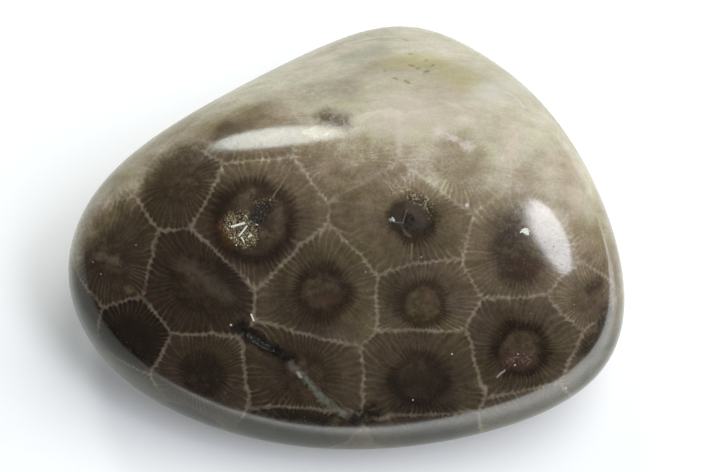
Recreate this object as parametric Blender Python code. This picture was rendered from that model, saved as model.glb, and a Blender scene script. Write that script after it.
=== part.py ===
"""A polished fossil coral head: one tumbled, palm-sized pebble that lies on its worn underside.

The pebble is an oval blank that tumbling has worn flatter from twelve sides. Each worn face holds the surface
back to its own reach from the pebble's middle, and SHOULDER_TIGHTNESS sets how sharply one face turns into the
next. The script makes one closed solid, in metres, with +Z up and the origin under the middle of its box.
"""

import math

import bmesh
import bpy
import numpy as np

MM = 0.001

BLANK_HALF_SIZES = (37.0, 34.0, 17.0)  # mm, the oval blank before wear

# Worn face: (bearing from +X towards +Y in degrees, rise above level in degrees, reach from the middle in mm).
WORN_FACES = {
    "crown": (262, 83, 15.5),
    "front_slope": (266, 51, 13.0),
    "back_slope": (103, 59, 16.0),
    "left_end": (187, 6, 34.0),
    "right_end": (358, 7, 32.0),
    "back_left_side": (128, 8, 21.0),
    "back_right_side": (36, -1, 24.0),
    "back_end": (84, 6, 36.5),
    "front_left_side": (247, -5, 28.0),
    "front_right_side": (288, -5, 32.0),
    "front_foot": (283, -19, 28.5),
    "underside": (270, -90, 11.5),
}
SHOULDER_TIGHTNESS = 6.0
REST_FLAT_DEPTH = 0.3  # mm ground off the lowest point, which leaves the flat that the pebble rests on

GRID_HALF_SIZES = (31.0, 27.0, 13.0)  # mm, the oval whose even grid is pushed onto the pebble's surface
GRID_SQUARES = 24  # squares along each edge of that grid's six sides

STONE_COLOUR = (0.105, 0.083, 0.062, 1.0)
STONE_ROUGHNESS = 0.12


def clear_scene():
    """Removes everything that the scene starts with."""
    for obj in list(bpy.data.objects):
        bpy.data.objects.remove(obj)


def facing(bearing, rise):
    """The direction that a worn face looks in, as a unit vector."""
    bearing, rise = math.radians(bearing), math.radians(rise)
    return (
        math.cos(rise) * math.cos(bearing),
        math.cos(rise) * math.sin(bearing),
        math.sin(rise),
    )


def reach_of_surface(directions):
    """How far the pebble's surface is from its middle along each unit direction, in mm."""
    limits = np.linalg.norm(directions / BLANK_HALF_SIZES, axis=1) ** SHOULDER_TIGHTNESS
    for bearing, rise, reach in WORN_FACES.values():
        towards_face = directions @ facing(bearing, rise)
        limits += np.clip(towards_face / reach, 0.0, None) ** SHOULDER_TIGHTNESS
    return limits ** (-1.0 / SHOULDER_TIGHTNESS)


def spread_on_sphere(cube_points):
    """Points of a cube of half size 1, moved onto the sphere inside it so that its squares stay even."""
    x, y, z = cube_points.T
    xx, yy, zz = x * x, y * y, z * z
    return np.column_stack(
        (
            x * np.sqrt(1 - yy / 2 - zz / 2 + yy * zz / 3),
            y * np.sqrt(1 - zz / 2 - xx / 2 + zz * xx / 3),
            z * np.sqrt(1 - xx / 2 - yy / 2 + xx * yy / 3),
        )
    )


def pebble_points(cube_points):
    """The cube's grid moved onto the pebble, in mm, with the rest flat at z = 0 and the box centred on Z."""
    oval = spread_on_sphere(cube_points) * GRID_HALF_SIZES
    directions = oval / np.linalg.norm(oval, axis=1, keepdims=True)
    points = directions * reach_of_surface(directions)[:, None]
    rest_level = points[:, 2].min() + REST_FLAT_DEPTH
    points[:, 2] = np.maximum(points[:, 2], rest_level)
    low, high = points.min(axis=0), points.max(axis=0)
    return points - ((low[0] + high[0]) / 2, (low[1] + high[1]) / 2, rest_level)


def stone_material():
    """Dark grey-brown limestone with a glassy polish."""
    material = bpy.data.materials.new("polished_coral_limestone")
    material.use_nodes = True
    shader = material.node_tree.nodes["Principled BSDF"]
    shader.inputs["Base Color"].default_value = STONE_COLOUR
    shader.inputs["Roughness"].default_value = STONE_ROUGHNESS
    shader.inputs["Metallic"].default_value = 0.0
    return material


def make_stone():
    """The whole pebble, as one closed mesh of squares with one flat under it."""
    grid = bmesh.new()
    bmesh.ops.create_cube(grid, size=2.0)
    bmesh.ops.subdivide_edges(grid, edges=grid.edges, cuts=GRID_SQUARES - 1, use_grid_fill=True)
    cube_points = np.array([vertex.co for vertex in grid.verts])
    for vertex, place in zip(grid.verts, pebble_points(cube_points) * MM):
        vertex.co = place
    bmesh.ops.recalc_face_normals(grid, faces=grid.faces)
    mesh = bpy.data.meshes.new("coral_stone")
    grid.to_mesh(mesh)
    grid.free()
    mesh.shade_smooth()
    mesh.materials.append(stone_material())
    stone = bpy.data.objects.new("coral_stone", mesh)
    bpy.context.collection.objects.link(stone)


def main():
    clear_scene()
    make_stone()


main()
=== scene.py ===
"""The looks of a polished fossil coral head: one glossy pebble whose surface cuts through its corallites.

The stone's skin is pressed onto the solid's form. The colony is a set of corallites, each with a place on the
stone and habits of its own. Where two of them met as they grew, they made a wall, and thin septa run from the
walls in towards each one's eye. The shader draws all of that from the corallites nearest to each face.
Lengths in the pattern are in millimetres, and the meshes are in metres.
"""

import math

import bpy
import numpy as np
from mathutils import Matrix, Vector
from mathutils.bvhtree import BVHTree


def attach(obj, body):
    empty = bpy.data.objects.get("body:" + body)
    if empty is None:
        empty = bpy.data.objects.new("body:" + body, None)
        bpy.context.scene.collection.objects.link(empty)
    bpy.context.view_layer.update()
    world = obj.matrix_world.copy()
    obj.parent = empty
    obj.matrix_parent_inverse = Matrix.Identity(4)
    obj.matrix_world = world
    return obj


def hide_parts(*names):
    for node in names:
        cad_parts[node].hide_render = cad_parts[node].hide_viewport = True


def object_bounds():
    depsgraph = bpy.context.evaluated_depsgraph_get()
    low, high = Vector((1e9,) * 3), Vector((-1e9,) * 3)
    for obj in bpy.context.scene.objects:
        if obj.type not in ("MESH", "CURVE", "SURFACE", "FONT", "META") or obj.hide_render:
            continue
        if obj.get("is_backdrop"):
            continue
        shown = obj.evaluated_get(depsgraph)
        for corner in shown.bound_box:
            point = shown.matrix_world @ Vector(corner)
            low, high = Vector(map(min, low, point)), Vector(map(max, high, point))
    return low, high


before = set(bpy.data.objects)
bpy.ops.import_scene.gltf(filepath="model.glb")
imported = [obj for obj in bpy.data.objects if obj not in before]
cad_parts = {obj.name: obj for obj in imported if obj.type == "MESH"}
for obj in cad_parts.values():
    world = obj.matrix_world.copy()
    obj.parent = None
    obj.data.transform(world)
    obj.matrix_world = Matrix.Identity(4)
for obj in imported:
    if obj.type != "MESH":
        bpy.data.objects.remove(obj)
cad_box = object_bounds()

MM = 0.001

# The view
VIEW_PX = (708, 472)
LENS_MM = 100.0
SENSOR_MM = 36.0
CAMERA_RISE = math.radians(63)  # how steeply the camera looks down
CAMERA_DISTANCE = 211.2  # mm
CAMERA_AIM = (0.96, -2.15, 10.0)  # mm, a point inside the stone

# The stone's skin
SKIN_START_HALF_SIZES = (31.0, 26.0, 13.0)  # mm, the oval that is pressed onto the form
SKIN_MIDDLE_HEIGHT = 11.5  # mm
SKIN_CUTS = 29  # cuts across each side of the starting block
SKIN_SMOOTHING = 2  # subdivision levels

# The colony. Tones are shares of the brightness that the limestone has at that place.
# Corallite: (view pixels of its eye and of the point it grew out from, head start in growth in mm,
# ring radius in mm, tones of its eye, ring and floor).
CORALLITES = {
    "gilt_vug": ((255, 222), (252, 220), 1.2, 3.8, (0.96, 0.60, 1.13)),
    "middle": ((323, 291), (322, 293), 0.7, 2.4, (0.80, 0.58, 1.06)),
    "dark_vug": ((413, 219), (406, 218), 1.3, 1.8, (0.62, 0.56, 0.98)),
    "small_middle": ((422, 304), (423, 296), -0.2, 2.1, (0.78, 0.58, 1.03)),
    "chip_eye": ((517, 256), (525, 249), 0.7, 2.2, (0.80, 0.74, 1.04)),
    "round_eye": ((520, 350), (527, 344), 0.9, 2.5, (0.70, 0.42, 0.88)),
    "flat_eye": ((419, 380), (424, 375), 0.8, 2.6, (0.62, 0.50, 0.84)),
    "cracked": ((305, 377), (302, 375), 0.6, 2.3, (0.74, 0.64, 0.86)),
    "front_left": ((203, 375), (196, 379), 0.0, 1.9, (0.68, 0.64, 1.04)),
    "streaked": ((200, 283), (194, 283), 0.3, 2.6, (0.82, 0.72, 0.86)),
    "upper_left": ((180, 182), (182, 184), -0.8, 2.0, (0.96, 0.86, 0.96)),
    "left_end": ((108, 260), (102, 253), 0.8, 2.0, (1.00, 0.92, 1.04)),
    "lower_left": ((128, 341), (128, 338), -0.6, 1.8, (0.52, 0.46, 0.72)),
    "right_fan": ((589, 300), (577, 296), -1.6, 1.4, (0.84, 0.80, 1.00)),
    "front_foot": ((305, 434), (301, 432), -0.2, 2.0, (0.50, 0.44, 0.64)),
    "right_foot": ((535, 415), (534, 415), 0.3, 1.6, (0.80, 0.70, 0.90)),
    "pale_middle": ((350, 158), (357, 145), 0.0, 1.8, (1.05, 1.00, 1.08)),
    "pale_fan": ((460, 160), (453, 156), 0.8, 2.4, (0.97, 1.00, 1.08)),
    "upper_brown": ((245, 118), (244, 119), 0.8, 1.8, (0.94, 0.92, 1.01)),
    "upper_back": ((336, 100), (336, 96), 0.0, 1.0, (0.98, 1.00, 1.00)),
    "right_side": ((604, 225), (604, 225), 0.0, 1.2, (0.98, 0.96, 1.00)),
    "middle_foot": ((432, 440), (427, 440), 0.2, 2.2, (0.50, 0.42, 0.72)),
    "left_foot": ((188, 414), (188, 414), -2.6, 2.2, (0.50, 0.44, 0.66)),
    "crest": ((415, 75), (415, 75), 0.0, 1.0, (1.00, 1.00, 1.00)),
    "right_back": ((510, 125), (510, 125), 0.0, 1.0, (1.02, 1.02, 1.03)),
    "right_shoulder": ((562, 172), (562, 172), 0.0, 1.2, (0.98, 0.98, 1.02)),
}
NEAREST_KEPT = 4  # corallites that each face knows of

# Hidden corallites fill the colony where the named ones end.
HIDDEN_SPACING = 7.0  # mm at least between two of them
NAMED_CLEARANCE = 8.4  # mm at least from one to a named one
HIDDEN_HEAD_START = (-0.2, 0.9)  # least and most, in mm
HIDDEN_RING_RADIUS = (1.7, 2.8)
HIDDEN_TONES = ((0.60, 0.85), (0.48, 0.66), (0.85, 1.00))  # of the eye, ring and floor
LEAST_PATTERN = 0.15  # share of those tones that is left in the pale limestone
HIDDEN_SEED = 11
SPOTS_TRIED = 6000
SETTLING_ROUNDS = 8

# The limestone pales towards these sides.
# Side: (bearing in degrees, mm out where it starts and is done, brightness).
PALE_SIDES = {
    "back": (71.0, -9.3, 8.8, 0.745),
    "back_left": (123.0, 6.6, 11.4, 0.67),
}
DARKEST_LEFT = 0.265  # brightness of the dark limestone at the left end
DARKEST_RIGHT = 0.385  # and from the middle to the right end
DARK_LEFT_TO_RIGHT = (-16.0, 4.0)  # mm from the middle over which it changes

# Where the limestone is paler than around it.
# Place: (view pixels along its middle, half its width in mm, softness in mm, brightness gained).
PALER_PLACES = {
    "over_dark_vug": (((398, 180), (420, 178), (436, 188)), 0.6, 1.4, 0.09),
}

# Where the walls and septa are all but wiped out: by wear, and under the left highlight and the reflected
# band at the foot, whose light hides them.
# Place: (view pixels along its middle, half its width in mm, softness in mm, how much is gone).
WORN_AND_REFLECTION_HIDDEN_PLACES = {
    # upper_middle lies under the left highlight, and left_foot and front_foot along the reflected band: there
    # the pattern is left plain, standing in for the glare that hides it.
    "upper_middle": (((256, 141), (300, 133), (345, 136)), 1.0, 1.2, 0.90),
    "pale_middle_floor": (((338, 172), (362, 186)), 1.2, 1.6, 0.75),
    "left_of_dark_vug": (((380, 200), (372, 226), (386, 246)), 0.8, 1.4, 0.60),
    "crest_floor": (((400, 100), (470, 110)), 2.0, 3.0, 0.50),
    "right_shoulder_floor": (((560, 160), (585, 215)), 1.0, 2.5, 0.60),
    "left_foot": (((88, 332), (104, 354), (150, 392), (200, 418), (250, 431)), 1.0, 1.2, 0.95),
    "front_foot": (((300, 442), (345, 440), (372, 440), (420, 441)), 0.9, 1.2, 0.95),
    "right_rim": (((612, 250), (619, 285), (618, 325)), 0.4, 1.2, 0.85),
}

# Clouded marks, some painted shade and a painted highlight, with frayed and patchy edges.
# Mark: (view pixels along its middle, half its width in mm, softness in mm, colour, strength).
CLOUDS = {
    "olive_cloud": (((396, 62), (424, 60)), 0.8, 1.8, (190, 180, 126), 0.60),
    "olive_cloud_right": (((446, 66), (466, 82)), 0.8, 2.2, (184, 176, 128), 0.60),
    "grey_green_cloud": (((352, 58), (376, 50)), 0.9, 1.5, (152, 156, 138), 0.60),
    "whitish_cloud": (((490, 92), (520, 84)), 0.5, 2.6, (214, 211, 200), 0.60),
    "pinkish_cloud": (((400, 120), (440, 100)), 1.0, 3.4, (204, 190, 175), 0.50),
    # Painted shade: the back shoulder and the upper right rim darkened where they turn away from the lights.
    "painted_shade_left_shoulder": (((326, 74), (372, 64)), 1.0, 3.2, (166, 158, 136), 0.35),
    "painted_shade_right_rim": (((486, 66), (530, 104)), 0.5, 2.2, (184, 180, 156), 0.45),
    "brown_blotch": (((326, 117), (342, 121)), 0.30, 1.7, (72, 50, 28), 0.85),
    "brown_shade": (((250, 118), (266, 107)), 0.3, 1.8, (112, 94, 66), 0.30),
    "shade_over_highlight": (((316, 94), (346, 88)), 0.6, 2.4, (148, 140, 120), 0.60),
    "middle_low_shade": (((283, 302), (300, 318), (318, 324)), 0.5, 1.8, (34, 27, 21), 0.45),
    "small_middle_shade": (((394, 280), (396, 302)), 0.3, 1.6, (36, 29, 23), 0.50),
    "front_shade": (((394, 407), (450, 409)), 0.2, 1.2, (24, 18, 14), 0.55),
    "streaked_shade": (((221, 274), (233, 300)), 0.6, 1.8, (26, 21, 18), 0.45),
    # Painted highlight: a faint pinkish streak where the window softbox's reflection trails off to the right.
    "painted_highlight_streak": (((438, 132), (454, 139), (471, 148)), 0.06, 0.6, (228, 216, 210), 0.60),
    "gilt_vug_stain": (((222, 205), (230, 240), (262, 258)), 0.9, 1.6, (36, 26, 20), 0.50),
    "gilt_vug_rust": (((226, 226), (232, 238)), 0.4, 0.9, (92, 58, 34), 0.60),
    "dark_vug_stain": (((403, 223), (421, 222)), 0.80, 1.9, (38, 28, 20), 0.85),
    "lavender_glass": (((414, 210), (420, 217)), 0.10, 1.4, (94, 82, 74), 0.60),
    "dark_vug_heart": (((408, 219), (411, 222)), 0.15, 0.7, (30, 24, 20), 0.85),
    "green_glass": (((417, 226), (421, 227)), 0.10, 0.6, (68, 70, 64), 0.50),
    "grey_glass": (((397, 214), (400, 226)), 0.20, 0.6, (74, 70, 64), 0.50),
    "sooty_stain": (((263, 204), (262, 214)), 0.60, 1.4, (34, 27, 22), 0.80),
    "chip_shade": (((512, 224), (506, 250), (518, 272)), 0.4, 3.0, (44, 34, 27), 0.75),
    "chip_rust": (((522, 264), (532, 270)), 0.3, 1.5, (72, 48, 38), 0.60),
    "round_eye_rust": (((503, 360), (528, 364)), 0.15, 1.2, (76, 50, 42), 0.70),
    "middle_eye_rust": (((316, 300), (334, 301)), 0.10, 0.9, (74, 50, 38), 0.60),
    "small_eye_rust": (((424, 294), (432, 300)), 0.15, 0.8, (96, 72, 56), 0.50),
    "fan_scar": (((590, 289), (600, 284)), 0.20, 0.8, (56, 47, 38), 0.85),
    "right_shadow": (((608, 312), (600, 332), (586, 350)), 0.3, 1.4, (42, 35, 28), 0.85),
    "left_end_streak": (((96, 256), (116, 261)), 0.10, 0.7, (112, 102, 84), 0.60),
    "left_end_rust": (((145, 287), (148, 290)), 0.20, 0.6, (64, 34, 26), 0.70),
    "left_end_ochre": (((129, 289), (131, 292)), 0.10, 0.5, (116, 106, 72), 0.60),
    "streak_across": (((182, 266), (204, 280), (226, 297)), 0.10, 1.2, (90, 80, 66), 0.65),
    "upper_left_shade": (((160, 174), (186, 154)), 0.6, 2.2, (58, 47, 35), 0.75),
    "crack_shade": (((240, 328), (262, 342), (290, 360)), 0.35, 0.9, (22, 18, 15), 1.00),
    "crack_middle": (((290, 364), (300, 373)), 0.10, 0.7, (118, 106, 96), 0.75),
    "healed_vein": (((300, 374), (318, 395), (333, 408), (347, 417)), 0.06, 0.55, (118, 120, 107), 0.85),
    "vein_stain": (((306, 395), (309, 398)), 0.20, 0.7, (92, 72, 52), 0.50),
    "front_blotch": (((358, 419), (373, 411)), 0.45, 1.2, (26, 20, 16), 0.95),
    "flat_eye_shade": (((398, 388), (440, 384)), 0.5, 2.2, (34, 28, 22), 0.60),
}

# Crystal strewn as fine crumbs, laid like the clouds but broken up finely. Crumbs: (as a cloud).
CRUMBS = {
    "over_dark_vug": (((394, 190), (411, 196), (428, 203)), 0.15, 0.7, (204, 192, 160), 0.55),
    "right_of_dark_vug": (((430, 208), (437, 226)), 0.10, 0.6, (150, 134, 104), 0.35),
    "over_sooty_vug": (((257, 202), (272, 201)), 0.15, 0.6, (146, 122, 88), 0.60),
    "round_gilt_vug": (((237, 225), (246, 236)), 1.35, 0.5, (156, 134, 94), 0.60),
    "in_round_eye": (((507, 363), (518, 358), (528, 360)), 0.10, 0.7, (170, 152, 138), 0.40),
}

# Thin lines. Thread: (view pixels along it, half its width in mm, softness in mm, colour, strength).
THREADS = {
    "pale_ridge": (((397, 112), (400, 130), (399, 150)), 0.03, 0.50, (222, 214, 196), 0.28),
    "pale_thread": (((440, 100), (465, 110)), 0.03, 0.36, (222, 214, 196), 0.28),
    "upper_thread": (((345, 44), (362, 40), (380, 37), (396, 37)), 0.03, 0.30, (214, 210, 196), 0.45),
    "septum_of_gilt_vug": (((273, 197), (281, 185), (289, 170)), 0.02, 0.14, (132, 116, 88), 0.60),
    "olive_dash_1": (((409, 54), (412, 54)), 0.03, 0.22, (120, 112, 72), 0.50),
    "olive_dash_2": (((410, 65), (413, 66)), 0.05, 0.26, (114, 106, 68), 0.50),
    "olive_dash_3": (((417, 68), (419, 68)), 0.03, 0.20, (120, 112, 72), 0.50),
    "olive_dash_4": (((425, 72), (428, 71)), 0.05, 0.28, (108, 100, 62), 0.55),
    "olive_dash_5": (((432, 66), (434, 65)), 0.04, 0.20, (116, 108, 68), 0.50),
    "olive_dash_6": (((394, 78), (397, 79)), 0.04, 0.22, (118, 108, 70), 0.55),
    "olive_dash_7": (((405, 81), (409, 83)), 0.04, 0.26, (108, 97, 66), 0.50),
    "olive_dash_8": (((384, 71), (386, 71)), 0.03, 0.18, (120, 112, 72), 0.45),
    "olive_dash_9": (((403, 39), (408, 41)), 0.03, 0.20, (136, 128, 84), 0.50),
    "olive_dash_10": (((425, 61), (427, 60)), 0.03, 0.18, (128, 120, 80), 0.50),
    "rim_thread": (((506, 92), (516, 97), (524, 108)), 0.03, 0.26, (222, 224, 218), 0.45),
    "line_in_dark_vug": (((395, 222), (403, 223), (407, 210)), 0.01, 0.10, (120, 112, 100), 0.60),
    "line_low_in_dark_vug": (((404, 230), (406, 234), (410, 236)), 0.02, 0.24, (116, 102, 94), 0.50),
    "tail_of_dark_vug": (((412, 244), (411, 259)), 0.02, 0.12, (136, 124, 102), 0.60),
    "round_eye_glint": (((497, 377), (501, 373), (505, 370)), 0.03, 0.12, (180, 170, 160), 0.80),
    "vein_knot": (((298, 373), (301, 377)), 0.05, 0.18, (180, 176, 162), 0.60),
}

# Bright specks of calcite, and painted glints where crystals catch the light. Speck: (view pixel, radius in
# mm, brightness).
SPECKS_AND_GLINTS = {
    "right_of_dark_vug": ((467, 205), 0.20, 0.50),
    # left_of_crack, in_flat_eye, in_front, at_right_foot and in_round_eye below are painted glints.
    "left_of_crack": ((231, 325), 0.10, 0.85),
    "in_flat_eye": ((452, 354), 0.08, 0.95),
    "in_front": ((413, 400), 0.08, 0.75),
    "at_right_foot": ((566, 388), 0.08, 0.85),
    "in_round_eye": ((515, 365), 0.09, 0.70),
    "above_round_eye_rust": ((518, 354), 0.07, 0.55),
    "left_end_dot": ((101, 274), 0.08, 0.50),
    "left_end_low_dot": ((93, 262), 0.08, 0.45),
    "beside_gilt_vug": ((270, 200), 0.09, 0.30),
}

# Pockets worn open in the stone, with crisp edges.
# Pocket: (view pixels of its ends, half its width and its depth in mm).
POCKETS = {
    "gilt_vug": (((237, 226), (245, 234)), 1.45, 0.40),
    "sooty_vug": (((264, 208), (257, 218)), 0.80, 0.14),
    "open_crack": (((249, 336), (272, 350)), 0.32, 0.18),
}
CUTTER_ROUGHNESS = 0.16  # share of the cutter's radius
CRISP_FROM = math.radians(20)  # edges that turn more than this stay sharp

# Crystals in a pocket. Lining: (pocket, material, how many, smallest and largest radius in mm, seed).
LININGS = {
    "gilt_grains": ("gilt_vug", "gilt_calcite", 1050, 0.03, 0.085, 3),
    "sooty_grains": ("sooty_vug", "sooty_calcite", 280, 0.05, 0.13, 5),
    "crack_grains": ("open_crack", "green_black_calcite", 220, 0.04, 0.09, 9),
}
GRAIN_SPREAD = (0.85, 1.05)  # the outermost reach this share of the way to the rim
GRAIN_SUNK = 0.15  # share of a grain's radius
GRAIN_ROUGHNESS = 0.3  # share of the smallest radius

# Needles across the gilt pocket and one above the crack. Needle: (view pixels of its ends, thickness in mm).
NEEDLES = {
    "long": ((231, 227), (245, 223), 0.26),
    "steep": ((239, 236), (247, 226), 0.20),
    "short": ((248, 237), (252, 235), 0.20),
    "upper": ((245, 215), (248, 218), 0.14),
    "right": ((255, 224), (263, 227), 0.07),
    "low": ((241, 237), (244, 242), 0.14),
    "above_crack": ((251, 314), (254, 321), 0.22),
}
NEEDLE_SUNK = 0.04  # mm that a needle's middle is below the polish

# Pale chips let into the stone; the one in the dark vug is a painted glint, a grey-white chip where the light
# glints on the vug. Chip: (view pixels of its ends, material, seed).
CHIPS = {
    "pale_chip": (((520, 230), (530, 234)), "white_calcite", 4),
    "vug_glint_chip": (((389, 221), (396, 219)), "glint_grey_calcite", 6),
}
CHIP_THICKNESS = 0.30  # mm
CHIP_SUNK = 0.12  # mm that its middle is below the polish
CHIP_WIDTH = 0.7  # share of its length
CHIP_ROUGHNESS = 0.08  # mm


def srgb(red, green, blue):
    """A colour given as 0 to 255 on a screen, as the linear colour that a shader takes."""

    def linear(level):
        level /= 255
        return level / 12.92 if level <= 0.04045 else ((level + 0.055) / 1.055) ** 2.4

    return (linear(red), linear(green), linear(blue), 1.0)


def way_at(bearing, rise=0.0):
    """The direction at a bearing from +X towards +Y and a rise, in degrees."""
    bearing, rise = math.radians(bearing), math.radians(rise)
    return Vector((math.cos(rise) * math.cos(bearing), math.cos(rise) * math.sin(bearing), math.sin(rise)))


# ---------------------------------------------------------------- the view


def camera_axes():
    """The camera's right, up and forward directions."""
    right = Vector((1.0, 0.0, 0.0))
    forward = Vector((0.0, math.cos(CAMERA_RISE), -math.sin(CAMERA_RISE)))
    return right, right.cross(forward), forward


def camera_place():
    """Where the camera stands, in metres."""
    return (Vector(CAMERA_AIM) - camera_axes()[2] * CAMERA_DISTANCE) * MM


def add_camera():
    """A long lens that looks steeply down at the stone's front."""
    bpy.ops.object.camera_add(location=camera_place(), rotation=(math.pi / 2 - CAMERA_RISE, 0.0, 0.0))
    camera = bpy.context.object
    camera.name = "view_from_above_the_front"
    camera.data.lens = LENS_MM
    camera.data.sensor_width = SENSOR_MM
    camera.data.clip_start = 10 * MM
    bpy.context.scene.camera = camera


def ray_through(pixel):
    """The direction in which the camera sees a pixel of the view."""
    right, up, forward = camera_axes()
    pixels_per_length = LENS_MM / SENSOR_MM * VIEW_PX[0]
    across = (pixel[0] - VIEW_PX[0] / 2) / pixels_per_length
    down = (pixel[1] - VIEW_PX[1] / 2) / pixels_per_length
    return (forward + right * across - up * down).normalized()


class Surface:
    """The stone's surface, to place things on."""

    def __init__(self, obj):
        mesh = obj.data
        corners = [vertex.co for vertex in mesh.vertices]
        self.tree = BVHTree.FromPolygons(corners, [face.vertices for face in mesh.polygons])

    def seen_at(self, pixel):
        """The point that the camera sees at a pixel and the way it faces, in metres."""
        place, facing, _, _ = self.tree.ray_cast(camera_place(), ray_through(pixel))
        if place is None:
            raise ValueError(f"pixel {pixel} misses the stone")
        return place, facing

    def under(self, place, facing):
        """The point of the surface straight below a place that hangs over it, in metres."""
        return self.tree.ray_cast(place + facing * 2 * MM, -facing)[0]


# ---------------------------------------------------------------- meshes


def select_only(obj):
    """Leaves one object selected and active."""
    bpy.ops.object.select_all(action="DESELECT")
    obj.select_set(True)
    bpy.context.view_layer.objects.active = obj


def edit_all(obj):
    """Opens an object's mesh for editing, with all of it selected."""
    bpy.context.view_layer.objects.active = obj
    bpy.ops.object.mode_set(mode="EDIT")
    bpy.ops.mesh.select_all(action="SELECT")


def apply_modifier(obj, kind, **settings):
    """Adds a modifier, sets it up and applies it."""
    select_only(obj)
    bpy.ops.object.modifier_add(type=kind)
    modifier = obj.modifiers[-1]
    for name, value in settings.items():
        setattr(modifier, name, value)
    bpy.ops.object.modifier_apply(modifier=modifier.name)


def smooth_form():
    """A fine, smooth copy of the solid, which the skin is pressed onto."""
    select_only(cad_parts["coral_stone"])
    bpy.ops.object.duplicate()
    form = bpy.context.object
    edit_all(form)
    bpy.ops.mesh.remove_doubles(threshold=0.001 * MM)
    bpy.ops.mesh.tris_convert_to_quads(face_threshold=math.pi, shape_threshold=math.pi)
    bpy.ops.object.mode_set(mode="OBJECT")
    apply_modifier(form, "SUBSURF", levels=2, render_levels=2)
    return form


def make_skin(form):
    """The stone's surface as an even net of squares: a block, rounded, pressed onto the form and smoothed."""
    bpy.ops.object.select_all(action="DESELECT")
    bpy.ops.mesh.primitive_cube_add(size=2.0)
    stone = bpy.context.object
    stone.name = stone.data.name = "polished_coral_head"
    edit_all(stone)
    bpy.ops.mesh.subdivide(number_cuts=SKIN_CUTS)
    bpy.ops.transform.tosphere(value=1.0)
    bpy.ops.transform.resize(value=[half * MM for half in SKIN_START_HALF_SIZES])
    bpy.ops.transform.translate(value=(0.0, 0.0, SKIN_MIDDLE_HEIGHT * MM))
    bpy.ops.object.mode_set(mode="OBJECT")
    apply_modifier(stone, "SHRINKWRAP", target=form, wrap_method="NEAREST_SURFACEPOINT")
    apply_modifier(stone, "SUBSURF", levels=SKIN_SMOOTHING, render_levels=SKIN_SMOOTHING)
    return stone


def frame_between(surface, ends):
    """The middle, half length and turn of a thing that lies on the surface between two view pixels."""
    first, second = (surface.seen_at(pixel)[0] for pixel in ends)
    middle = (first + second) / 2
    facing = surface.tree.find_nearest(middle)[1]
    along = (second - first) - facing * facing.dot(second - first)
    half_length = along.length / 2
    along.normalize()
    turn = Matrix((along, facing.cross(along), facing)).transposed()
    return middle, half_length, turn


def cut_pockets(stone, surface, lining):
    """Hollows the pockets out of the skin with rough-sided cutters, which leave their facets behind."""
    stone.data.materials.append(lining)
    for seed, (ends, half_width, depth) in enumerate(POCKETS.values()):
        middle, half_length, turn = frame_between(surface, ends)
        bpy.ops.object.select_all(action="DESELECT")
        bpy.ops.mesh.primitive_ico_sphere_add(subdivisions=3, radius=1.0)
        cutter = bpy.context.object
        cutter.data.materials.append(lining)
        edit_all(cutter)
        bpy.ops.transform.vertex_random(offset=CUTTER_ROUGHNESS, uniform=0.6, normal=0.4, seed=seed)
        bpy.ops.object.mode_set(mode="OBJECT")
        cutter.scale = (half_length + half_width * MM, half_width * MM, depth * MM)
        cutter.rotation_euler = turn.to_euler()
        cutter.location = middle
        cut = {"operation": "DIFFERENCE", "solver": "EXACT", "material_mode": "TRANSFER"}
        apply_modifier(stone, "BOOLEAN", object=cutter, **cut)
        bpy.data.objects.remove(cutter)
    select_only(stone)
    bpy.ops.object.shade_smooth_by_angle(angle=CRISP_FROM)


def line_pocket(name, stone, surface, material, pocket, count, smallest, largest, seed):
    """One mesh of the small rough crystals that line a pocket."""
    ends, half_width, _ = POCKETS[pocket]
    middle, half_length, turn = frame_between(surface, ends)
    floor = Surface(stone)
    facing = turn.col[2]
    chance = np.random.default_rng(seed)
    bpy.ops.object.select_all(action="DESELECT")
    for index in range(count):
        out = math.sqrt(chance.uniform(0.0, 1.0)) * chance.uniform(*GRAIN_SPREAD)
        bearing = chance.uniform(0.0, 2 * math.pi)
        across = Vector((
            (half_length + half_width * MM) * out * math.cos(bearing),
            half_width * MM * out * math.sin(bearing),
            0.0,
        ))
        radius = chance.uniform(smallest, largest) * MM
        place = floor.under(middle + turn @ across, facing) - facing * radius * GRAIN_SUNK
        spin = chance.uniform(-math.pi, math.pi, 3)
        bpy.ops.mesh.primitive_ico_sphere_add(subdivisions=1, radius=radius, location=place, rotation=spin)
        if index == 0:
            crystals = bpy.context.object
            bpy.ops.object.mode_set(mode="EDIT")
    bpy.ops.mesh.select_all(action="SELECT")
    roughness = GRAIN_ROUGHNESS * smallest * MM
    bpy.ops.transform.vertex_random(offset=roughness, uniform=1.0, normal=0.0, seed=seed)
    bpy.ops.object.mode_set(mode="OBJECT")
    finish_piece(crystals, name, material)


def lay_needles(surface, material):
    """The pale needles, in one mesh."""
    bpy.ops.object.select_all(action="DESELECT")
    for index, (start, end, thickness) in enumerate(NEEDLES.values()):
        middle, half_length, turn = frame_between(surface, (start, end))
        bpy.ops.mesh.primitive_cylinder_add(
            vertices=5,
            radius=thickness / 2 * MM,
            depth=half_length * 2,
            location=middle - turn.col[2] * NEEDLE_SUNK * MM,
            rotation=(turn @ Matrix.Rotation(math.pi / 2, 3, "Y")).to_euler(),
        )
        if index == 0:
            needles = bpy.context.object
            bpy.ops.object.mode_set(mode="EDIT")
    bpy.ops.object.mode_set(mode="OBJECT")
    finish_piece(needles, "pale_needles", material)


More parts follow.
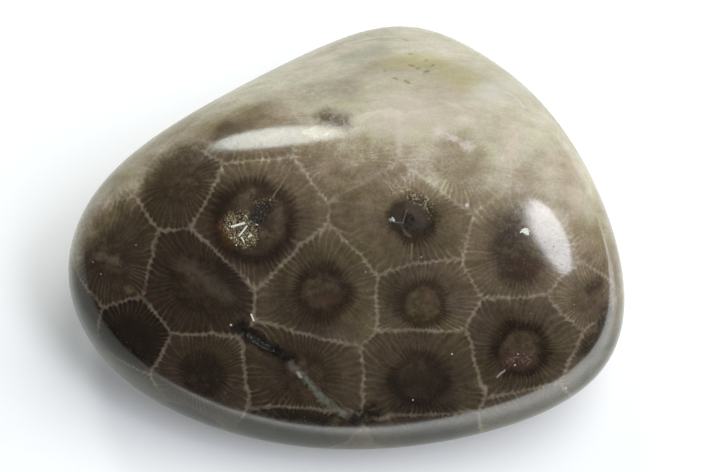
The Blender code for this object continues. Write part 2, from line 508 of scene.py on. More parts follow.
def lay_chip(name, ends, seed, surface, material):
    """A chip of crystal let into an eye, its top level with the polish: greenish-white, and grey-white in the
    dark vug as a painted glint.
    """
    middle, half_length, turn = frame_between(surface, ends)
    bpy.ops.object.select_all(action="DESELECT")
    bpy.ops.mesh.primitive_cylinder_add(
        vertices=6,
        radius=half_length,
        depth=CHIP_THICKNESS * MM,
        location=middle - turn.col[2] * CHIP_SUNK * MM,
        rotation=turn.to_euler(),
    )
    chip = bpy.context.object
    edit_all(chip)
    bpy.ops.mesh.subdivide(number_cuts=2)
    bpy.ops.transform.resize(value=(1.0, CHIP_WIDTH, 1.0), orient_type="GLOBAL", center_override=middle)
    bpy.ops.transform.vertex_random(offset=CHIP_ROUGHNESS * MM, uniform=1.0, normal=0.0, seed=seed)
    bpy.ops.object.mode_set(mode="OBJECT")
    finish_piece(chip, name, material)


def finish_piece(piece, name, material):
    """Names a small piece, puts its object at the origin, gives it its finish and rides it on the stone."""
    piece.name = piece.data.name = name
    select_only(piece)
    bpy.ops.object.transform_apply(location=True, rotation=True, scale=True)
    piece.data.materials.clear()
    piece.data.materials.append(material)
    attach(piece, "root")


# ---------------------------------------------------------------- the colony


def settle(places, fixed, spots, rounds):
    """Moves each place after the first `fixed` to the middle of the spots nearest to it, some rounds over."""
    for _ in range(rounds):
        owner = np.linalg.norm(spots[:, None] - places[None], axis=2).argmin(axis=1)
        for index in range(fixed, len(places)):
            middle = spots[owner == index].mean(axis=0)
            places[index] = spots[np.linalg.norm(spots - middle, axis=1).argmin()]
    return places


def pattern_share(place):
    """How much of a hidden corallite's pattern shows: all of it in the dark limestone, little in the pale."""
    shares = [1.0]
    for bearing, start, done, _ in PALE_SIDES.values():
        shares.append((done - Vector(place).dot(way_at(bearing))) / (done - start))
    return max(min(shares), LEAST_PATTERN)


def grow_colony(surface, stone):
    """The facts of all the corallites: place and eye (mm), habit (head start, ring radius, 0) and tones."""
    eyes, places, habits, tones = [], [], [], []
    for eye, place, head_start, ring_radius, tone in CORALLITES.values():
        eyes.append(list(surface.seen_at(eye)[0] / MM))
        places.append(list(surface.seen_at(place)[0] / MM))
        habits.append((head_start, ring_radius, 0.0))
        tones.append(tone)
    named = len(places)

    chance = np.random.default_rng(HIDDEN_SEED)
    corners = np.empty(len(stone.data.vertices) * 3)
    stone.data.vertices.foreach_get("co", corners)
    spots = chance.permutation(corners.reshape(-1, 3) / MM)[:SPOTS_TRIED]
    clearance = [NAMED_CLEARANCE] * named
    for spot in spots:
        if (np.linalg.norm(np.array(places) - spot, axis=1) > clearance).all():
            places.append(list(spot))
            clearance.append(HIDDEN_SPACING)
    places = settle(np.array(places), named, spots, SETTLING_ROUNDS)

    for place in places[named:]:
        eyes.append(list(place))
        habits.append((chance.uniform(*HIDDEN_HEAD_START), chance.uniform(*HIDDEN_RING_RADIUS), 0.0))
        tone = [chance.uniform(*span) for span in HIDDEN_TONES]
        shown = pattern_share(place)
        tones.append([1.0 - (1.0 - share) * shown for share in tone])
    return {"place": places, "eye": np.array(eyes), "habit": np.array(habits), "tones": np.array(tones)}


def record_nearest(stone, colony):
    """Gives each face the facts of the corallites that reach it first, for the shader to measure from."""
    mesh = stone.data
    middles = np.empty(len(mesh.polygons) * 3)
    mesh.polygons.foreach_get("center", middles)
    middles = middles.reshape(-1, 3) / MM
    arrival = np.linalg.norm(middles[:, None] - colony["place"][None], axis=2) - colony["habit"][:, 0]
    order = np.argsort(arrival, axis=1)[:, :NEAREST_KEPT]
    for rank in range(NEAREST_KEPT):
        for name, values in colony.items():
            attribute = mesh.attributes.new(f"{name}_{rank}", "FLOAT_VECTOR", "FACE")
            attribute.data.foreach_set("vector", values[order[:, rank]].ravel())


# ---------------------------------------------------------------- shader formulas


class Graph:
    """Shader nodes written as formulas: each method adds nodes and returns what they put out."""

    def __init__(self, tree):
        self.tree = tree

    def put(self, kind, inputs=None, **settings):
        """One node, with its settings and with its inputs by name or number."""
        node = self.tree.nodes.new(kind)
        for name, value in settings.items():
            setattr(node, name, value)
        for socket, value in (inputs or {}).items():
            self.feed(node.inputs[socket], value)
        return node

    def feed(self, socket, value):
        """Links an output to a socket, or sets the socket's own value."""
        if isinstance(value, bpy.types.NodeSocket):
            self.tree.links.new(value, socket)
        else:
            socket.default_value = value

    def group(self, tree, inputs):
        """A shader group's outputs, by name."""
        return self.put("ShaderNodeGroup", inputs, node_tree=tree).outputs

    def here(self):
        """Where a point is on its piece, in metres."""
        return self.put("ShaderNodeTexCoord").outputs["Object"]

    def math(self, operation, *values):
        return self.put("ShaderNodeMath", dict(enumerate(values)), operation=operation).outputs[0]

    def plus(self, first, second):
        return self.math("ADD", first, second)

    def minus(self, first, second):
        return self.math("SUBTRACT", first, second)

    def times(self, product, *others):
        for other in others:
            product = self.math("MULTIPLY", product, other)
        return product

    def line(self, value, slope, start):
        """A number that starts at start and changes by slope with value."""
        return self.math("MULTIPLY_ADD", value, slope, start)

    def vector(self, operation, *values):
        node = self.put("ShaderNodeVectorMath", dict(enumerate(values)), operation=operation)
        return node.outputs["Value" if operation in ("DOT_PRODUCT", "LENGTH", "DISTANCE") else "Vector"]

    def dot(self, first, second):
        return self.vector("DOT_PRODUCT", first, second)

    def scaled(self, vector, scale):
        node = self.put("ShaderNodeVectorMath", {"Vector": vector, "Scale": scale}, operation="SCALE")
        return node.outputs["Vector"]

    def parts(self, vector):
        """The three numbers of a vector."""
        return tuple(self.put("ShaderNodeSeparateXYZ", {0: vector}).outputs)

    def ease(self, value, start, end, to_start=0.0, to_end=1.0):
        """Turns value from to_start to to_end, smoothly, as it goes from start to end."""
        inputs = {"Value": value, "From Min": start, "From Max": end, "To Min": to_start, "To Max": to_end}
        return self.put("ShaderNodeMapRange", inputs, interpolation_type="SMOOTHSTEP").outputs["Result"]

    def choose(self, factor, first, second):
        """Mixes two vectors."""
        inputs = {0: factor, 4: first, 5: second}
        return self.put("ShaderNodeMix", inputs, data_type="VECTOR").outputs[1]

    def mix(self, factor, first, second):
        """Mixes two numbers."""
        return self.put("ShaderNodeMix", {0: factor, 2: first, 3: second}, data_type="FLOAT").outputs[0]

    def blend(self, factor, first, second, way="MIX"):
        """Mixes two colours."""
        inputs = {0: factor, 6: first, 7: second}
        return self.put("ShaderNodeMix", inputs, data_type="RGBA", blend_type=way).outputs[2]

    def noise(self, place, scale, detail=2.0, roughness=0.5, out="Fac"):
        inputs = {"Vector": place, "Scale": scale, "Detail": detail, "Roughness": roughness}
        return self.put("ShaderNodeTexNoise", inputs, noise_dimensions="3D").outputs[out]

    def patches(self, place, scale, detail, roughness, span, levels):
        """Noise in soft patches: over a span of the noise it goes from one level to the other."""
        return self.ease(self.noise(place, scale, detail, roughness), *span, *levels)

    def bent(self, place, scale, reach):
        """A place moved about by noise, by up to about reach mm."""
        shift = self.noise(place, scale, detail=3.0, roughness=0.6, out="Color")
        shift = self.vector("SUBTRACT", shift, (0.5, 0.5, 0.5))
        return self.vector("ADD", place, self.scaled(shift, 2 * reach))

    def ramp(self, value, stops, interpolation="EASE"):
        """Colours along a scale: stops are (position, screen colour)."""
        node = self.put("ShaderNodeValToRGB", {"Fac": value})
        ramp = node.color_ramp
        ramp.interpolation = interpolation
        while len(ramp.elements) < len(stops):
            ramp.elements.new(0.5)
        for element, (position, colour) in zip(ramp.elements, stops):
            element.position = position
            element.color = srgb(*colour)
        return node.outputs["Color"]


def new_group(name, inputs, outputs):
    """An empty shader group with named sockets, its graph, its inputs and the node that takes its outputs."""
    tree = bpy.data.node_groups.new(name, "ShaderNodeTree")
    kinds = {"value": "NodeSocketFloat", "vector": "NodeSocketVector"}
    for label, kind in inputs.items():
        tree.interface.new_socket(name=label, in_out="INPUT", socket_type=kinds[kind])
    for label, kind in outputs.items():
        tree.interface.new_socket(name=label, in_out="OUTPUT", socket_type=kinds[kind])
    graph = Graph(tree)
    return tree, graph, graph.put("NodeGroupInput").outputs, graph.put("NodeGroupOutput").inputs


def new_material(name, values):
    """A material, its graph and its shader's inputs, some of which get plain values."""
    material = bpy.data.materials.new(name)
    material.use_nodes = True
    inputs = material.node_tree.nodes["Principled BSDF"].inputs
    for label, value in values.items():
        inputs[label].default_value = value
    return material, Graph(material.node_tree), inputs


# ---------------------------------------------------------------- shader groups

SEPTA_COUNT = (44.0, 52.0)  # fewest and most in a corallite
SEPTA_STRENGTH = (8.0, 1.0, 0.5, (0.25, 0.75), (0.35, 1.3))  # as patches round the eye
SEPTA_JITTER = 12.0  # radians of their wave by which noise shifts them along a bearing
SEPTA_BEND = 22.0  # and by which it bends them on their way out
BESIDE_ALL_EYES = (0.31, 0.86, 0.40)  # a direction that no eye faces
PALING_DRIFT = 4.5  # mm by which noise moves the edges of the pale limestone


def corallite_group():
    """Which corallite a point belongs to, and how far it is from that corallite's eye and from its wall.

    Each corallite reaches a point at its distance less its head start. The first to arrive owns it, and the
    wall stands where two arrive together. Grown Place is the point bent by uneven growth, which crinkles it.
    """
    tree, graph, given, out = new_group(
        "nearest corallite",
        {"Place": "vector", "Grown Place": "vector"},
        {
            "Wall Distance": "value",
            "From Eye": "vector",
            "Eye": "vector",
            "Ring Radius": "value",
            "Tones": "vector",
        },
    )
    first = second = None
    for rank in range(NEAREST_KEPT):
        facts = [
            graph.put("ShaderNodeAttribute", attribute_name=f"{name}_{rank}").outputs["Vector"]
            for name in ("place", "eye", "habit", "tones")
        ]
        head_start = graph.parts(facts[2])[0]
        arrival = graph.minus(graph.vector("DISTANCE", given["Grown Place"], facts[0]), head_start)
        if first is None:
            first, owner = arrival, facts
            continue
        sooner = graph.math("LESS_THAN", arrival, first)
        later = graph.math("MAXIMUM", arrival, first)
        second = later if second is None else graph.math("MINIMUM", second, later)
        first = graph.math("MINIMUM", first, arrival)
        owner = [graph.choose(sooner, kept, fact) for kept, fact in zip(owner, facts)]

    _, eye, habit, tones = owner
    graph.feed(out["Wall Distance"], graph.times(graph.minus(second, first), 0.5))
    graph.feed(out["From Eye"], graph.vector("SUBTRACT", given["Place"], eye))
    graph.feed(out["Eye"], eye)
    graph.feed(out["Ring Radius"], graph.parts(habit)[1])
    graph.feed(out["Tones"], tones)
    return tree


def septa_group():
    """How near a point is to a septum, from 0 between two to 1 on one, and how strong that septum is.

    The bearing round the eye is measured in the plane that the stone's surface lies in at that eye.
    """
    tree, graph, given, out = new_group(
        "septa",
        {"From Eye": "vector", "Eye": "vector"},
        {"Ridge": "value", "Strength": "value"},
    )
    from_eye, eye = given["From Eye"], given["Eye"]
    from_middle = graph.vector("SUBTRACT", eye, (0.0, 0.0, SKIN_MIDDLE_HEIGHT))
    flattened = graph.vector("MULTIPLY", from_middle, [100.0 / half**2 for half in SKIN_START_HALF_SIZES])
    facing = graph.vector("NORMALIZE", flattened)
    across = graph.vector("NORMALIZE", graph.vector("CROSS_PRODUCT", facing, BESIDE_ALL_EYES))
    along = graph.vector("CROSS_PRODUCT", facing, across)
    bearing = graph.math("ARCTAN2", graph.dot(from_eye, along), graph.dot(from_eye, across))
    heading = graph.vector("ADD", graph.vector("NORMALIZE", from_eye), eye)
    jitter = graph.noise(heading, 3.0, detail=1.0)
    bend = graph.noise(graph.vector("ADD", from_eye, eye), 0.28)
    crowd = graph.put("ShaderNodeTexWhiteNoise", {"Vector": eye}, noise_dimensions="3D").outputs["Value"]
    count = graph.math("FLOOR", graph.ease(crowd, 0.0, 1.0, *SEPTA_COUNT))
    phase = graph.times(bearing, count)
    phase = graph.plus(phase, graph.times(jitter, SEPTA_JITTER))
    phase = graph.plus(phase, graph.times(bend, SEPTA_BEND))
    graph.feed(out["Ridge"], graph.line(graph.math("COSINE", phase), 0.5, 0.5))
    graph.feed(out["Strength"], graph.patches(heading, *SEPTA_STRENGTH))
    return tree


def paling_group():
    """How bright the limestone is at a place before the corallites are drawn in it, from 0 to 1."""
    tree, graph, given, out = new_group("paling limestone", {"Place": "vector"}, {"Brightness": "value"})
    drift = graph.noise(given["Place"], 0.16, detail=4.0, roughness=0.55)
    drift = graph.line(drift, 2 * PALING_DRIFT, -PALING_DRIFT)
    across = graph.parts(given["Place"])[0]
    brightness = darkest = graph.ease(across, *DARK_LEFT_TO_RIGHT, DARKEST_LEFT, DARKEST_RIGHT)
    for bearing, start, done, palest in PALE_SIDES.values():
        out_along = graph.plus(graph.dot(given["Place"], way_at(bearing)), drift)
        side = graph.ease(out_along, start, done, darkest, palest)
        brightness = graph.math("MAXIMUM", brightness, side)
    graph.feed(out["Brightness"], brightness)
    return tree


def mark_group():
    """A mark along a straight line: 1 within Half Width of the line From-To, fading to 0 over Softness."""
    tree, graph, given, out = new_group(
        "mark",
        {"Place": "vector", "From": "vector", "To": "vector", "Half Width": "value", "Softness": "value"},
        {"Mask": "value"},
    )
    line = graph.vector("SUBTRACT", given["To"], given["From"])
    offset = graph.vector("SUBTRACT", given["Place"], given["From"])
    along = graph.math("DIVIDE", graph.dot(offset, line), graph.dot(line, line))
    along = graph.math("MINIMUM", graph.math("MAXIMUM", along, 0.0), 1.0)
    away = graph.vector("DISTANCE", offset, graph.scaled(line, along))
    edge = graph.plus(given["Half Width"], given["Softness"])
    graph.feed(out["Mask"], graph.ease(away, given["Half Width"], edge, 1.0, 0.0))
    return tree


# ---------------------------------------------------------------- marks

SPECK_AND_GLINT_COLOUR = (244, 241, 234)
DUST_COLOUR = (226, 218, 204)
DUST_CELLS = 0.9  # cells of the foam in a mm
DUSTY_FROM = (0.86, 0.90)  # chances from which a cell starts to hold a speck and surely holds one
DUST_SMALLEST = 0.03  # share of a cell
DUST_SPREAD = 0.05  # and how much larger the largest is
DUST_STRENGTH = 0.6


def line_mask(graph, mark, place, surface):
    """1 near the line through a mark's view pixels, fading to 0. Mark: (pixels, half width, softness)."""
    pixels, half_width, softness = mark
    tree = bpy.data.node_groups.get("mark") or mark_group()
    points = [surface.seen_at(pixel)[0] / MM for pixel in pixels]
    mask = 0.0
    for start, end in zip(points, points[1:]):
        inputs = {"Place": place, "From": start, "To": end, "Half Width": half_width, "Softness": softness}
        mask = graph.math("MAXIMUM", mask, graph.group(tree, inputs)["Mask"])
    return mask


def add_marks(graph, marks, place, patchiness, colour, surface):
    """Lays marks over a colour. Place is bent to fray them, and patchiness thins them from place to place."""
    for *mark, mark_colour, strength in marks.values():
        mask = line_mask(graph, mark, place, surface)
        mask = graph.times(mask, graph.times(patchiness, strength))
        colour = graph.blend(mask, colour, srgb(*mark_colour))
    return colour


def add_specks_and_glints(graph, place, colour, surface):
    """Lays the bright specks and painted glints over a colour."""
    for pixel, radius, brightness in SPECKS_AND_GLINTS.values():
        away = graph.vector("DISTANCE", place, surface.seen_at(pixel)[0] / MM)
        mask = graph.ease(away, radius * 0.6, radius * 1.4, brightness, 0.0)
        colour = graph.blend(mask, colour, srgb(*SPECK_AND_GLINT_COLOUR))
    return colour


def add_dust(graph, place, colour):
    """Scatters faint specks of calcite over a colour, one in some of the cells of a fine foam."""
    foam = graph.put("ShaderNodeTexVoronoi", {"Vector": place, "Scale": DUST_CELLS}, feature="F1").outputs
    luck, largeness, brightness = graph.parts(foam["Color"])
    size = graph.line(largeness, DUST_SPREAD, DUST_SMALLEST)
    mask = graph.ease(foam["Distance"], graph.times(size, 0.6), graph.times(size, 1.5), DUST_STRENGTH, 0.0)
    mask = graph.times(mask, graph.times(graph.ease(luck, *DUSTY_FROM), brightness))
    return graph.blend(mask, colour, srgb(*DUST_COLOUR))


# ---------------------------------------------------------------- the stone's looks

# Noise in patches: (waves in a mm, detail, roughness, span of the noise from one level to the other, levels).
EYE_MOTTLE = (1.5, 4.0, 0.65, (0.30, 0.70), (0.84, 1.18))
SEPTA_WEAR = (0.35, 3.0, 0.60, (0.30, 0.65), (0.35, 1.15))
WALL_WEAR = (0.6, 2.0, 0.50, (0.30, 0.60), (0.50, 1.00))
DRIFT = (0.14, 3.0, 0.60, (0.30, 0.70), (0.93, 1.07))
CLOUDING = (0.7, 5.0, 0.65, (0.20, 0.80), (0.86, 1.14))
BEDDING = (0.7, 4.0, 0.60, (0.30, 0.70), (0.96, 1.04))
GRAIN = (3.4, 3.0, 0.70, (0.20, 0.80), (0.90, 1.10))
CLOUD_PATCHES = (1.5, 4.0, 0.70, (0.25, 0.60), (0.35, 1.00))
CRUMB_PATCHES = (4.0, 2.0, 0.60, (0.48, 0.66), (0.00, 1.00))
POLISH_ROUGHNESS = (2.4, 4.0, 0.65, (0.30, 0.80), (0.10, 0.20))
PITS = (6.0, 2.0, 0.60, (0.27, 0.35), (0.00, 1.00))

# Bends: (waves in a mm, reach in mm).
WALL_BENDS = (0.42, 0.55)
FINE_FRAY = (2.4, 0.35)
BROAD_FRAY = (0.6, 0.90)
THREAD_WAVER = (1.6, 0.12)

# From the eye out
RING_WAVES = 0.5  # in a mm
RING_WANDER = 0.8  # mm by which a ring strays from round
EYE_TO_RING = (0.66, 0.98)  # ring radii over which the eye's tone turns to the ring's
RING_FRINGE = 0.22  # mm by which the septa fray the ring
RING_TO_INNER_FLOOR = (0.05, 1.3)  # mm beyond the ring radius
INNER_FLOOR = 0.72  # how far the tone of the inner floor is from the ring's to the floor's
INNER_FLOOR_TO_FLOOR = (1.0, 3.6)  # mm beyond the ring radius
MOTTLE_ENDS = (0.8, 1.5)  # ring radii from the eye
MOTTLE_FADES = (0.38, 0.48)  # brightness of the limestone around it

# Septa and walls
PALE_FROM = (0.46, 0.72)  # brightness at which limestone starts to count as pale and does in full
SEPTUM_SHARPNESS = 3.0
BETWEEN_SEPTA = 0.36  # share of a septum's height at which the floor keeps its tone
SEPTA_ON_FLOOR = 0.04  # brightness
SEPTA_AT_WALL = 0.075  # and that much more
SEPTA_FADE = 1.1  # mm from the wall in which that falls to about a third
SEPTA_IN_EYE = (0.8, 1.3, 0.15, 1.0)  # ring radii over which they come up, from what share to what share
SEPTA_LOST_IN_PALE = 0.75
WALL_SCALLOP = 0.12  # mm by which each septum widens the wall
WALL_CORE = -0.04  # mm
WALL_FADE = 0.26  # mm, half of a wall's width with its soft edge
WALL_FADE_IN_PALE = 0.60
WALLS_LOST_IN_PALE = 0.7
WALL_LIFT = 0.25  # brightness that a wall adds in black limestone
WALL_LIFT_LOST = 0.22  # and what it adds less for each unit of brightness
WALL_GREYNESS = 0.35
WALL_COLOUR = (132, 124, 112)
GRAIN_LOST_IN_PALE = 0.6
BEDDING_STRETCH = (0.45, 1.0, 1.0)

# Screen colours: near black, brown, then tan as the brightness goes from 0 to 1
LIMESTONE_COLOURS = [
    (0.06, (18, 13, 9)),
    (0.16, (42, 32, 23)),
    (0.25, (66, 54, 41)),
    (0.36, (94, 82, 65)),
    (0.48, (123, 108, 87)),
    (0.60, (154, 140, 117)),
    (0.72, (196, 188, 170)),
    (0.86, (232, 226, 214)),
]
TINTS_IN_DARK = [(0.36, (250, 250, 232)), (0.5, (252, 250, 245)), (0.64, (251, 247, 251))]
TINTS_IN_PALE = [(0.36, (244, 246, 230)), (0.5, (246, 243, 236)), (0.64, (250, 243, 237))]

# The polish
STONE_IOR = 1.66  # calcite's
PIT_ROUGHNESS = 0.45
PIT_BUMP = 0.3
PIT_DEPTH = 0.02 * MM


def corallite_tone(graph, place, nearest, radius, turns, ridge, paling):
    """A corallite's share of the brightness: its eye, then a dark ring with a fringe, then its floor."""
    eye_tone, ring_tone, floor_tone = graph.parts(nearest["Tones"])
    beyond = graph.minus(radius, nearest["Ring Radius"])
    fringed = graph.line(ridge, RING_FRINGE, beyond)
    tone = graph.mix(graph.ease(turns, *EYE_TO_RING), eye_tone, ring_tone)
    inner_floor = graph.mix(INNER_FLOOR, ring_tone, floor_tone)
    tone = graph.mix(graph.ease(fringed, *RING_TO_INNER_FLOOR), tone, inner_floor)
    tone = graph.mix(graph.ease(beyond, *INNER_FLOOR_TO_FLOOR), tone, floor_tone)
    plain = graph.math("MAXIMUM", graph.ease(turns, *MOTTLE_ENDS), graph.ease(paling, *MOTTLE_FADES))
    return graph.times(tone, graph.mix(plain, graph.patches(place, *EYE_MOTTLE), 1.0))


def left_by_wear_and_reflections(graph, place, surface):
    """How much of the walls and septa is left, from 0 to 1, after wear and under the reflections that hide
    them.
    """
    wiped = 0.0
    for *mark, share in WORN_AND_REFLECTION_HIDDEN_PLACES.values():
        mask = line_mask(graph, mark, place, surface)
        wiped = graph.math("MAXIMUM", wiped, graph.times(mask, share))
    return graph.minus(1.0, wiped)


def septa_relief(graph, place, septa, wall, turns, in_pale, left):
    """What the septa add to the brightness: most at the wall, less on the floor, hardly any in the eye."""
    worn = graph.times(graph.patches(place, *SEPTA_WEAR), left, graph.line(in_pale, -SEPTA_LOST_IN_PALE, 1.0))
    relief = graph.minus(graph.math("POWER", septa["Ridge"], SEPTUM_SHARPNESS), BETWEEN_SEPTA)
    relief = graph.times(relief, graph.times(septa["Strength"], worn))
    contrast = graph.math("POWER", math.e, graph.times(wall, -1 / SEPTA_FADE))
    contrast = graph.line(contrast, SEPTA_AT_WALL, SEPTA_ON_FLOOR)
    return graph.times(relief, graph.times(contrast, graph.ease(turns, *SEPTA_IN_EYE)))


def wall_mask(graph, place, wall, ridge, in_pale, left):
    """1 on a wall. Its edges are scalloped, because the floor between two septa ends in an arch."""
    scalloped = graph.line(graph.math("POWER", ridge, 2.0), -WALL_SCALLOP, wall)
    fade = graph.mix(in_pale, WALL_FADE, WALL_FADE_IN_PALE)
    mask = graph.ease(scalloped, WALL_CORE, fade, 1.0, 0.0)
    mask = graph.times(mask, graph.patches(place, *WALL_WEAR))
    return graph.times(mask, graph.line(in_pale, -WALLS_LOST_IN_PALE, 1.0), left)


def lay_grain(graph, place, brightness, in_pale):
    """Drifts, clouds or bedding, and a fine grain in the limestone's brightness."""
    bedding = graph.patches(graph.vector("MULTIPLY", place, BEDDING_STRETCH), *BEDDING)
    clouds = graph.mix(in_pale, graph.patches(place, *CLOUDING), bedding)
    grain = graph.mix(graph.times(in_pale, GRAIN_LOST_IN_PALE), graph.patches(place, *GRAIN), 1.0)
    return graph.times(brightness, graph.patches(place, *DRIFT), clouds, grain)


def limestone_colour(graph, place, brightness, in_pale):
    """The limestone's colour at a brightness, which leans to olive, grey or rose from place to place."""
    colour = graph.ramp(brightness, LIMESTONE_COLOURS, "LINEAR")
    leaning = graph.noise(place, 0.25, detail=3.0, roughness=0.6)
    tint = graph.blend(in_pale, graph.ramp(leaning, TINTS_IN_DARK), graph.ramp(leaning, TINTS_IN_PALE))
    return graph.blend(1.0, colour, tint, "MULTIPLY")


def stone_material(surface):
    """Fossil limestone under a glassy polish."""
    material, graph, shader = new_material("polished_coral_limestone", {"Metallic": 0.0, "IOR": STONE_IOR})
    place = graph.scaled(graph.here(), 1 / MM)

    grown = graph.bent(place, *WALL_BENDS)
    nearest = graph.group(corallite_group(), {"Place": place, "Grown Place": grown})
    septa = graph.group(septa_group(), {name: nearest[name] for name in ("From Eye", "Eye")})
    wall, ridge = nearest["Wall Distance"], septa["Ridge"]
    uneven = graph.line(graph.noise(place, RING_WAVES, detail=3.0), 2 * RING_WANDER, -RING_WANDER)
    radius = graph.plus(graph.vector("LENGTH", nearest["From Eye"]), uneven)
    turns = graph.math("DIVIDE", radius, nearest["Ring Radius"])

    paling = graph.group(paling_group(), {"Place": place})["Brightness"]
    in_pale = graph.ease(paling, *PALE_FROM)
    tone = corallite_tone(graph, place, nearest, radius, turns, ridge, paling)
    brightness = graph.times(tone, paling)
    for *mark, gain in PALER_PLACES.values():
        mask = line_mask(graph, mark, place, surface)
        brightness = graph.plus(brightness, graph.times(mask, gain))

    left = left_by_wear_and_reflections(graph, place, surface)
    relief = septa_relief(graph, place, septa, wall, turns, in_pale, left)
    brightness = graph.plus(brightness, relief)
    on_wall = wall_mask(graph, place, wall, ridge, in_pale, left)
    lift = graph.line(brightness, -WALL_LIFT_LOST, WALL_LIFT)
    brightness = graph.plus(brightness, graph.times(on_wall, lift))
    brightness = lay_grain(graph, place, brightness, in_pale)

    colour = limestone_colour(graph, place, brightness, in_pale)
    colour = graph.blend(graph.times(on_wall, WALL_GREYNESS), colour, srgb(*WALL_COLOUR))
    frayed = graph.bent(graph.bent(place, *FINE_FRAY), *BROAD_FRAY)
    colour = add_marks(graph, CLOUDS, frayed, graph.patches(place, *CLOUD_PATCHES), colour, surface)
    colour = add_marks(graph, CRUMBS, frayed, graph.patches(place, *CRUMB_PATCHES), colour, surface)
    colour = add_marks(graph, THREADS, graph.bent(place, *THREAD_WAVER), 1.0, colour, surface)
    colour = add_specks_and_glints(graph, place, add_dust(graph, place, colour), surface)
    graph.feed(shader["Base Color"], colour)

    pits = graph.patches(place, *PITS)
    polish = graph.patches(place, *POLISH_ROUGHNESS)
    graph.feed(shader["Roughness"], graph.mix(pits, PIT_ROUGHNESS, polish))
    bump = {"Strength": PIT_BUMP, "Distance": PIT_DEPTH, "Height": pits}
    graph.feed(shader["Normal"], graph.put("ShaderNodeBump", bump).outputs["Normal"])
    return material


def crystal_material(name, colours, metallic, roughness):
    """Small crystals whose colour changes from grain to grain along a row of colours."""
    material, graph, shader = new_material(name, {"Metallic": metallic, "Roughness": roughness})
    grain = graph.noise(graph.scaled(graph.here(), 1 / MM), 7.0, detail=2.0, roughness=0.6)
    stops = [(0.3 + 0.4 * index / (len(colours) - 1), colour) for index, colour in enumerate(colours)]
    graph.feed(shader["Base Color"], graph.ramp(grain, stops))
    return material


# ---------------------------------------------------------------- floor and light

# The table. In the polish it ends a little in front of the stone, where the dark room begins.
TABLE_HALF_WIDTH = 1.5  # m
TABLE_FRONT_EDGE = 0.085  # m in front of the stone's middle
EDGE_SOFTNESS = (0.002, 0.02)  # m, at the left and right ends
SHARP_TO_SOFT = (0.03, 0.10)  # m to the right
TABLE_GLOW = 0.21  # light that the table seems to give off, for the studio's bounce
FRONT_RIGHT = (0.45, -0.89, 0.0)
FRONT_RIGHT_GLOW = 2.5  # out of view, where only the polish shows it
FRONT_RIGHT_FROM = (0.031, 0.056)  # m
TABLE_COLOUR = (0.86, 0.87, 0.88, 1.0)
TABLE_IN_POLISH = (0.82, 0.88, 0.80, 1.0)
TABLE_BEHIND_IN_POLISH = (0.62, 0.62, 0.52, 1.0)
TABLE_LEFT_IN_POLISH = (0.40, 0.42, 0.39, 1.0)
BEYOND_TABLE = (0.02, 0.02, 0.02, 1.0)
LEFT_FROM = (0.025, 0.060)  # m

# Light: (bearing from +X towards +Y, rise and roll in degrees, distance and size in m, radiance, colour,
# whether the polish shows it).
SOFTBOXES = {
    "window_softbox": (107.6, 42, 10, 0.60, (0.125, 0.25), 8.6, (0.93, 1.00, 0.95), True),
    "right_softbox": (-34, 56, 44, 0.60, (0.32, 0.18), 9.5, (0.88, 0.91, 1.00), True),
    "broad_key": (30, 64, 0, 0.55, (0.46, 0.46), 4.1, (1.00, 1.00, 0.98), False),
}
LIGHTS_AIM = (0.0, 0.0, 12 * MM)
ROOM_COLOUR = (0.9, 0.95, 1.0, 1.0)
ROOM_BRIGHTNESS = 0.07  # what the stone gets from the room, which the camera sees as white
WHITE = (1.0, 1.0, 1.0, 1.0)


def table_material():
    """White card, and in the polish a table with a front edge, a bright corner and dimmer sides."""
    values = {"Roughness": 0.9, "Specular IOR Level": 0.0, "Emission Color": (0.96, 0.99, 1.0, 1.0)}
    material, graph, shader = new_material("white_card", values)
    where = graph.here()
    in_polish = graph.put("ShaderNodeLightPath").outputs["Is Glossy Ray"]
    in_front = graph.dot(where, (0.0, -1.0, 0.0))
    softness = graph.ease(graph.dot(where, (1.0, 0.0, 0.0)), *SHARP_TO_SOFT, *EDGE_SOFTNESS)
    beyond_edge = graph.ease(in_front, TABLE_FRONT_EDGE, graph.plus(softness, TABLE_FRONT_EDGE))
    lit = graph.minus(1.0, graph.times(beyond_edge, in_polish))
    corner = graph.ease(graph.dot(where, FRONT_RIGHT), *FRONT_RIGHT_FROM, TABLE_GLOW, FRONT_RIGHT_GLOW)
    glow = graph.mix(in_polish, TABLE_GLOW, corner)
    graph.feed(shader["Emission Strength"], graph.times(glow, lit))
    behind = graph.ease(in_front, 0.01, -0.02)
    left = graph.ease(graph.dot(where, (-1.0, 0.0, 0.0)), *LEFT_FROM)
    card = graph.blend(in_polish, TABLE_COLOUR, TABLE_IN_POLISH)
    card = graph.blend(graph.times(behind, in_polish), card, TABLE_BEHIND_IN_POLISH)
    card = graph.blend(graph.times(left, in_polish), card, TABLE_LEFT_IN_POLISH)
    graph.feed(shader["Base Color"], graph.blend(lit, BEYOND_TABLE, card))
    return material


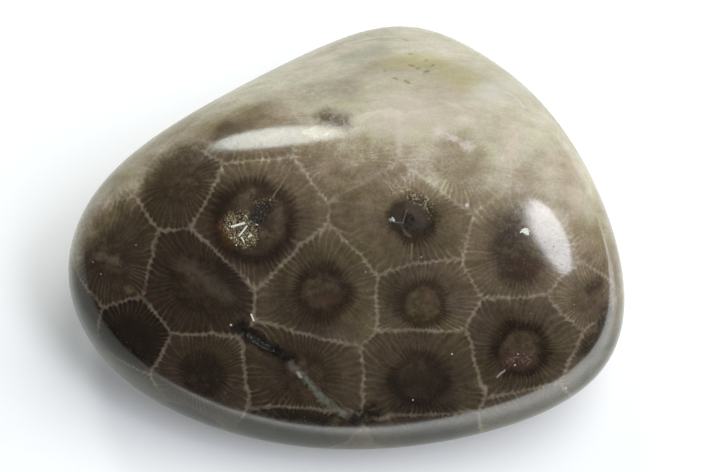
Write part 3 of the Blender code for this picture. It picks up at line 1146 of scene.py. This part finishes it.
def add_floor():
    """The white table that the stone lies on."""
    bpy.ops.mesh.primitive_plane_add(size=2.0)
    table = bpy.context.object
    table.name = "white_table"
    bpy.ops.object.mode_set(mode="EDIT")
    bpy.ops.mesh.select_all(action="SELECT")
    bpy.ops.transform.resize(value=(TABLE_HALF_WIDTH, TABLE_HALF_WIDTH, 1.0))
    bpy.ops.object.mode_set(mode="OBJECT")
    table.data.materials.append(table_material())
    table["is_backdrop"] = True


def add_softbox(name, bearing, rise, roll, distance, size, radiance, colour, seen_in_polish):
    """An oval soft light that faces the stone."""
    away = way_at(bearing, rise)
    bpy.ops.object.light_add(type="AREA", location=Vector(LIGHTS_AIM) + away * distance)
    light = bpy.context.object
    light.name = name
    turn = (-away).to_track_quat("-Z", "Y") @ Matrix.Rotation(math.radians(roll), 3, "Z").to_quaternion()
    light.rotation_euler = turn.to_euler()
    light.data.shape = "ELLIPSE"
    light.data.size, light.data.size_y = size
    light.data.color = colour
    light.data.energy = radiance * math.pi * size[0] * size[1] * math.pi / 4
    light.visible_glossy = seen_in_polish


def add_lights():
    """Two softboxes that show in the polish, a broad key light that doesn't, and a dim room."""
    for name, light in SOFTBOXES.items():
        add_softbox(name, *light)
    world = bpy.data.worlds.new("dim_room")
    bpy.context.scene.world = world
    world.use_nodes = True
    graph = Graph(world.node_tree)
    seen = graph.put("ShaderNodeLightPath").outputs["Is Camera Ray"]
    room = world.node_tree.nodes["Background"]
    graph.feed(room.inputs["Color"], graph.blend(seen, ROOM_COLOUR, WHITE))
    graph.feed(room.inputs["Strength"], graph.mix(seen, ROOM_BRIGHTNESS, 1.0))
    bpy.context.scene.view_settings.view_transform = "Standard"


# ---------------------------------------------------------------- the whole

# Crystal: (screen colours from grain to grain, metallic, roughness).
GILT = [(40, 30, 20), (164, 126, 78), (104, 98, 72), (226, 218, 180), (255, 253, 236)]
CRYSTALS = {
    "pocket_lining": ([(40, 31, 23), (66, 53, 39)], 0.0, 0.6),
    "gilt_calcite": (GILT, 0.25, 0.28),
    "sooty_calcite": ([(16, 12, 9), (40, 33, 26), (128, 116, 98)], 0.0, 0.32),
    "green_black_calcite": ([(14, 15, 13), (28, 32, 29), (120, 132, 122)], 0.0, 0.25),
    "white_calcite": ([(224, 228, 210), (255, 255, 248)], 0.0, 0.25),
    # Colours of the painted glint in the dark vug.
    "glint_grey_calcite": ([(96, 98, 90), (196, 204, 192)], 0.0, 0.3),
}

add_camera()
add_floor()
add_lights()
form = smooth_form()
stone = make_skin(form)
bpy.data.objects.remove(form)
surface = Surface(stone)
colony = grow_colony(surface, stone)
stone.data.materials.append(stone_material(surface))
crystals = {name: crystal_material(name, *crystal) for name, crystal in CRYSTALS.items()}
cut_pockets(stone, surface, crystals["pocket_lining"])
record_nearest(stone, colony)
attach(stone, "root")
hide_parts("coral_stone")
for name, (pocket, crystal, *lining) in LININGS.items():
    line_pocket(name, stone, surface, crystals[crystal], pocket, *lining)
lay_needles(surface, crystals["white_calcite"])
for name, (ends, crystal, seed) in CHIPS.items():
    lay_chip(name, ends, seed, surface, crystals[crystal])

boxes = {"cad": cad_box, "visual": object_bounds()}
boxes = {name: [list(corner) for corner in box] for name, box in boxes.items()}
